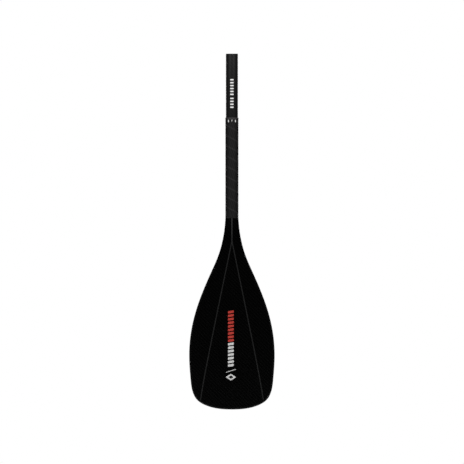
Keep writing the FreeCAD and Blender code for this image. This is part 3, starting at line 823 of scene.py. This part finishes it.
class Finish:
    """A material under construction. Plain settings go on the shader, patterns are linked to it."""

    def __init__(self, name, **settings):
        self.material = bpy.data.materials.new(name)
        self.material.use_nodes = True
        self.nodes = self.material.node_tree.nodes
        self.links = self.material.node_tree.links
        self.shader = next(node for node in self.nodes if node.type == "BSDF_PRINCIPLED")
        self.settings(settings)
        self.place = self.add("ShaderNodeTexCoord", {}, {}, "Object")
        parts = self.add("ShaderNodeSeparateXYZ", {}, {0: self.place}, "X")
        self.x = parts
        self.y = Value(self, parts.socket.node.outputs["Y"])
        self.z = Value(self, parts.socket.node.outputs["Z"])

    def settings(self, settings):
        for label, value in settings.items():
            self.shader.inputs[label.replace("_", " ").title().replace("Ior", "IOR")].default_value = value

    def add(self, kind, settings, inputs, output=0):
        """Any node: its settings first, then its sockets by name or number, as values or links."""
        node = self.nodes.new(kind)
        for label, value in settings.items():
            setattr(node, label, value)
        for label, value in inputs.items():
            if isinstance(value, Value):
                self.links.new(value.socket, node.inputs[label])
            else:
                node.inputs[label].default_value = value
        return Value(self, node.outputs[output])

    def noise(self, scale, detail=3.0, roughness=0.5, at=None):
        return self.add("ShaderNodeTexNoise", {}, {
            "Vector": at or self.place, "Scale": scale, "Detail": detail, "Roughness": roughness,
        }, "Fac")

    def stretched(self, x, y, z):
        """Coordinates squeezed along each axis, which stretches a pattern the other way."""
        return self.add("ShaderNodeVectorMath", {"operation": "MULTIPLY"}, {0: self.place, 1: (x, y, z)})

    def vector(self, x, y, z):
        return self.add("ShaderNodeCombineXYZ", {}, {"X": x, "Y": y, "Z": z})

    def mix(self, share, first, second):
        """A colour between two colours."""
        return self.add("ShaderNodeMix", {"data_type": "RGBA"}, {0: share, 6: first, 7: second}, 2)

    def finish(self, color=None, roughness=None, height=None, depth=1.0, fine=0.3, **more):
        """Link the patterns to the shader. Height is in metres times depth."""
        for label, value in {"Base Color": color, "Roughness": roughness, **more}.items():
            if isinstance(value, Value):
                self.links.new(value.socket, self.shader.inputs[label])
        if height is not None:
            bump = self.add("ShaderNodeBump", {}, {"Strength": fine, "Distance": depth, "Height": height})
            self.links.new(bump.socket, self.shader.inputs["Normal"])
        return self.material


def grey(value, alpha=1.0):
    return (value, value, value, alpha)


print("materials can be written as formulas")

# %% [markdown]
# ## Carbon cloth
# Carbon cloth is flat bundles, two millimetres wide, woven two over and two under. Whether the warp or the
# weft is on top at a place depends only on the sum of its column and row numbers, so the pattern is that
# sum, divided by four, and its remainder. Under black lacquer it hardly shows, except where light grazes
# it.

# %% Weave and lacquer
TOW = 2.0 * MM                  # width of one bundle


def twill(finish, u, v, tow=TOW):
    """(1 where the warp is on top, height of the bundles) of a two-by-two twill."""
    column, row = u / tow, v / tow
    total = column.math("FLOOR") + row.math("FLOOR")
    turn = (total / 4.0).math("FRACT")
    warp = turn.math("LESS_THAN", 0.49)
    across = (column * math.pi).math("SINE").math("ABSOLUTE")
    along = (row * math.pi).math("SINE").math("ABSOLUTE")
    height = warp * across + (1 - warp) * along
    return warp, height


print(f"one repeat of the cloth is {4 * TOW / MM:.0f} mm")


def blade_finish(name, with_ribs):
    """Black lacquer over cloth. The ribs are painted dark grey, a little paler above the fork, as a painted
    highlight along each ridge.
    """
    paint = Finish(name, specular_ior_level=0.13)
    warp, bundles = twill(paint, paint.x, paint.z)
    cloud = paint.noise(9.0, 4.0)
    fine = paint.noise(420.0, 2.0)
    tone = paint.mix(warp, grey(0.0002), grey(0.0010))
    rough = 0.22 + warp * 0.08 + cloud * 0.06 + fine * 0.03
    height = bundles * 0.8 + fine * 0.2
    if with_ribs:
        ribs = paint.add("ShaderNodeAttribute", {"attribute_name": "rib"}, {}, "Fac")
        on_rib = ribs.step(0.12, 0.4)
        strands = paint.noise(900.0, 1.0, at=paint.stretched(1.0, 1.0, 0.05))
        # Painted highlight: the ribs' grey, paler above the fork, stands in for the light caught along each
        # ridge.
        tape = paint.mix(strands, grey(0.0160), grey(0.0215))
        above_fork = (NECK_TOP - paint.z).step(1.2 * SPINE_SPLIT, 0.6 * SPINE_SPLIT)
        tape = paint.mix(above_fork, tape, grey(0.0345))
        tone = paint.mix(on_rib, tone, tape)
        rough = rough + on_rib * 0.08
        height = height * (1 - on_rib) + strands * on_rib
    return paint.finish(tone, rough, height, depth=0.05 * MM, fine=0.25)


face_skin.data.materials.append(blade_finish("black lacquered cloth with ribs", True))
back_skin.data.materials.append(blade_finish("black lacquered cloth", False))
print("both skins finished")

# %% [markdown]
# ## Wound tape
# The tape's bundles run along the helix. Unrolling the tube gives two coordinates, the distance round it
# and the height, and turning those by the helix angle gives one along the tape and one across. Fine streaks
# stretched along the tape read as fibres, and the laps are painted lighter, a painted highlight along each
# lap.

# %% Tape finish
def wrap_finish():
    cloth = Finish("wound carbon tape", specular_ior_level=0.3)
    angle = cloth.x.math("ARCTAN2", cloth.y * -1.0)
    turns = (cloth.z + TAPE_START + angle * (TAPE_LEAD / (2 * math.pi))) / TAPE_PITCH
    off = (turns - turns.math("ROUND")).math("ABSOLUTE") * (TAPE_PITCH / (LAP_WIDTH / 2))
    lap = off.step(1.25, 0.55)
    around = angle * SHAFT_RADIUS
    tilt = math.atan2(TAPE_LEAD, 2 * math.pi * SHAFT_RADIUS)
    along = around * math.cos(tilt) - cloth.z * math.sin(tilt)
    across = around * math.sin(tilt) + cloth.z * math.cos(tilt)
    warp, bundles = twill(cloth, along, across, 1.6 * MM)
    fibres = cloth.noise(1.0, 2.0, at=cloth.vector(along * 60.0, across * 1600.0, 0.0))
    cloud = cloth.noise(25.0, 3.0)
    base = cloth.mix(fibres, grey(0.0070), (0.0105, 0.0099, 0.0102, 1))
    base = cloth.mix(warp * 0.5, base, grey(0.0135))
    # Painted highlight: the laps are made lighter to stand in for the light caught along each lap.
    tone = cloth.mix(lap, base, (0.0225, 0.0216, 0.0221, 1))
    rough = 0.30 + cloud * 0.10 + warp * 0.09 - lap * 0.05
    return cloth.finish(tone, rough, bundles * 0.5 + fibres * 0.3, depth=0.06 * MM, fine=0.3)


wrap.data.materials.append(wrap_finish())
print(f"tape climbs {TAPE_LEAD / MM:.1f} mm in a turn")

# %% [markdown]
# ## Ground carbon
# The ferrule is wound like the shaft and then ground to size, so that it slides. Grinding leaves very fine
# rings round it, and sliding in and out rubs paler streaks along it.

# %% Ferrule finish
def ferrule_finish():
    """A tube ground to size: fine rings round it, and paler rubbed streaks from sliding in and out."""
    tube = Finish("ground carbon tube", specular_ior_level=0.3)
    warp, bundles = twill(tube, tube.x.math("ARCTAN2", tube.y * -1.0) * FERRULE_RADIUS, tube.z)
    rings = tube.noise(40.0, 3.0, at=tube.stretched(1.0, 1.0, 90.0))
    rubbed = tube.noise(30.0, 3.0, at=tube.stretched(6.0, 6.0, 0.35)).step(0.58, 0.75)
    tone = tube.mix(warp * 0.5, grey(0.0066), (0.0088, 0.0082, 0.0085, 1))
    tone = tube.mix(rubbed * 0.25, tone, grey(0.016))
    rough = 0.28 + rings * 0.18 - rubbed * 0.06 + warp * 0.05
    return tube.finish(tone, rough, rings * 0.6 + bundles * 0.2, depth=0.04 * MM, fine=0.3)


ferrule.data.materials.append(ferrule_finish())
print("ferrule finished")

# %% [markdown]
# ## Plastics, ink and foam
# The small parts share three kinds of finish. Moulded plastic has a fine grain, screen print keeps the mesh
# of its screen, and foam or filler shows its cells where it is cut. One function makes each kind, and its
# tones and scale are what differ from part to part.

# %% Plastic, ink and foam
def plastic_finish(name, tone, spread, roughness, grain=700.0):
    """Moulded plastic: a fine grain, and a cloud of slightly lighter rubbed places."""
    plastic = Finish(name, specular_ior_level=0.35)
    speck = plastic.noise(grain, 2.0)
    cloud = plastic.noise(60.0, 3.0).step(0.45, 0.7)
    color = plastic.mix(cloud, tone, spread)
    rough = roughness + speck * 0.10 - cloud * 0.05
    return plastic.finish(color, rough, speck, depth=0.05 * MM, fine=0.35)


SCREEN = 0.4 * MM               # distance between the screen's threads


def ink_finish(name, tone, shade):
    """Screen print: the mesh of the screen leaves a faint grid, and the ink thins in places."""
    ink = Finish(name, specular_ior_level=0.25)
    mesh = (ink.x * (math.pi / SCREEN)).math("SINE") * (ink.z * (math.pi / SCREEN)).math("SINE")
    thin = ink.noise(160.0, 4.0).step(0.55, 0.8)
    color = ink.mix(thin * 0.35, tone, shade)
    rough = 0.45 + thin * 0.15
    return ink.finish(color, rough, mesh * 0.3 + thin, depth=0.02 * MM, fine=0.25)


def foam_finish(name, tone, shade, scale=900.0):
    """Foam or filler: small cells in two close tones."""
    foam = Finish(name, specular_ior_level=0.2)
    cells = foam.add("ShaderNodeTexVoronoi", {}, {"Vector": foam.place, "Scale": scale}, "Distance")
    color = foam.mix(cells.step(0.1, 0.7), tone, shade)
    rough = 0.75 + cells * 0.15
    return foam.finish(color, rough, cells, depth=0.2 * MM, fine=0.5)


end_plug.data.materials.append(plastic_finish("black plug plastic", grey(0.006), grey(0.010), 0.42))
ring.data.materials.append(
    plastic_finish("grey ring plastic", (0.031, 0.029, 0.030, 1), (0.042, 0.039, 0.040, 1), 0.45))
rail.data.materials.append(plastic_finish("black edge plastic", grey(0.0008), grey(0.0018), 0.30))
white_ink = ink_finish("white ink", (0.80, 0.80, 0.79, 1), (0.60, 0.60, 0.59, 1))
red_ink = ink_finish("red ink", (0.60, 0.060, 0.045, 1), (0.42, 0.040, 0.030, 1))
for piece in (ferrule_marks, index_marks, mark_white):
    piece.data.materials.append(white_ink)
mark_red.data.materials.append(red_ink)
print("plug, ring, edge strip and print finished")

# %% [markdown]
# ## Pieces inside
# The tubes, foam cores, filler and webs stay as the solids that came with the frame. Nobody sees them until
# the paddle is cut open, but each still gets the finish of what it is made of, in its own material slot.

# %% Give the hidden pieces their own finishes
foam = foam_finish("closed cell foam", (0.72, 0.69, 0.58, 1), (0.60, 0.56, 0.46, 1))
filler = foam_finish("neck filler", (0.52, 0.44, 0.30, 1), (0.44, 0.37, 0.25, 1), 1600.0)
web = plastic_finish("stringer laminate", grey(0.030), grey(0.045), 0.5)
inner_tube = plastic_finish("inner carbon tube", grey(0.012), grey(0.018), 0.4)
HIDDEN = {
    "shaft_tube": inner_tube,
    "neck_spigot": inner_tube,
    "shaft_foam_plug": foam,
    "spigot_plug": foam,
    "core_neck": filler,
    "core_centre": foam,
    "core_left": foam,
    "core_right": foam,
    "stringer_left": web,
    "stringer_right": web,
}
for node, material in HIDDEN.items():
    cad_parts[node].data.materials[0] = material
print(len(HIDDEN), "inner pieces finished")

# %% [markdown]
# ## Studio floor
# The paddle hangs over a round pale floor. It is small and far enough below that the black face doesn't
# mirror it from the front, and its rim fades out, so that no edge shows against the white background.

# %% Lay the floor
FLOOR_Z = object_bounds()[0].z - 0.50
FLOOR_RADIUS = 0.85
FLOOR_FADE = 0.7                # share of the radius where the floor starts to fade out
FLOOR_SIDES = 96
disc = np.linspace(0, 2 * math.pi, FLOOR_SIDES, endpoint=False)
floor_mesh = bpy.data.meshes.new("floor")
floor_mesh.from_pydata(
    np.column_stack([FLOOR_RADIUS * np.cos(disc), FLOOR_RADIUS * np.sin(disc), 0 * disc + FLOOR_Z]).tolist(),
    [], [list(range(len(disc)))])
floor = bpy.data.objects.new("floor", floor_mesh)
bpy.context.scene.collection.objects.link(floor)
floor_paint = Finish("pale floor", specular_ior_level=0.1)
from_middle = (floor_paint.x * floor_paint.x + floor_paint.y * floor_paint.y).math("SQRT")
floor_mesh.materials.append(floor_paint.finish(
    floor_paint.mix(floor_paint.noise(3.0), grey(0.86), grey(0.90)),
    floor_paint.noise(40.0) * 0.1 + 0.7,
    Alpha=from_middle.step(FLOOR_RADIUS, FLOOR_FADE * FLOOR_RADIUS)))
floor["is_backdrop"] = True
print(f"floor at {FLOOR_Z:.3f} m")

# %% [markdown]
# ## Light
# Black on black needs careful light: broad soft boxes at the corners draw the edges and the spine, and the
# surroundings stay dim so that the black stays black. The camera alone sees a plain white background.

# %% Hang the soft boxes
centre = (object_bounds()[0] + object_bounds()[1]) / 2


def soft_box(name, azimuth, elevation, distance, size, power):
    """A square light that faces the object's middle. Azimuth 0 is in front, along -Y."""
    lamp = bpy.data.lights.new(name, "AREA")
    lamp.shape = "SQUARE"
    lamp.size = size
    lamp.energy = power
    light = bpy.data.objects.new(name, lamp)
    a, e = math.radians(azimuth), math.radians(elevation)
    offset = Vector((math.sin(a) * math.cos(e), -math.cos(a) * math.cos(e), math.sin(e)))
    light.location = centre + offset * distance
    light.rotation_euler = (-offset).to_track_quat("-Z", "Y").to_euler()
    bpy.context.scene.collection.objects.link(light)


soft_box("front left box", -38, 44, 2.6, 1.4, 51)
soft_box("front right box", 38, 44, 2.6, 1.4, 51)
soft_box("back box", 180, 22, 2.6, 2.4, 60)

# %% [markdown]
# One background can't be white and dim at once, so there are two. A switch shows the white one to rays that
# come straight from the camera and the dim one to every ray that has met the paddle first.

# %% Paint the surroundings
SEEN_BY_CAMERA = 1.0
SEEN_BY_OBJECT = 0.02
world = bpy.data.worlds.new("studio")
bpy.context.scene.world = world
world.use_nodes = True
nodes, links = world.node_tree.nodes, world.node_tree.links
nodes.clear()
seen = nodes.new("ShaderNodeBackground")
seen.inputs["Color"].default_value = grey(SEEN_BY_CAMERA)
felt = nodes.new("ShaderNodeBackground")
felt.inputs["Color"].default_value = grey(SEEN_BY_OBJECT)
path = nodes.new("ShaderNodeLightPath")
choose = nodes.new("ShaderNodeMixShader")
output = nodes.new("ShaderNodeOutputWorld")
links.new(path.outputs["Is Camera Ray"], choose.inputs[0])
links.new(felt.outputs[0], choose.inputs[1])
links.new(seen.outputs[0], choose.inputs[2])
links.new(choose.outputs[0], output.inputs[0])
bpy.context.scene.view_settings.view_transform = "Standard"
print("surroundings: white to the camera, dim to the paddle")

# %% [markdown]
# ## Camera
# The camera looks straight at the power face, level with the middle of the picture. A long lens from far
# away hardly foreshortens, so the raked tip keeps its true length.

# %% Place the camera
CAMERA_DISTANCE = 40.0
VIEW_WIDTH = 1.0157
VIEW_HEIGHT = -0.2503           # the middle of the picture
VIEW_X = 0.0002
camera_data = bpy.data.cameras.new("camera")
camera_data.sensor_width = 36.0
camera_data.lens = camera_data.sensor_width * CAMERA_DISTANCE / VIEW_WIDTH
camera_data.clip_end = 100.0
camera = bpy.data.objects.new("camera", camera_data)
camera.location = (VIEW_X, -CAMERA_DISTANCE, VIEW_HEIGHT)
camera.rotation_euler = (math.pi / 2, 0, 0)
bpy.context.scene.collection.objects.link(camera)
bpy.context.scene.camera = camera
print(f"camera lens {camera_data.lens:.0f} mm")
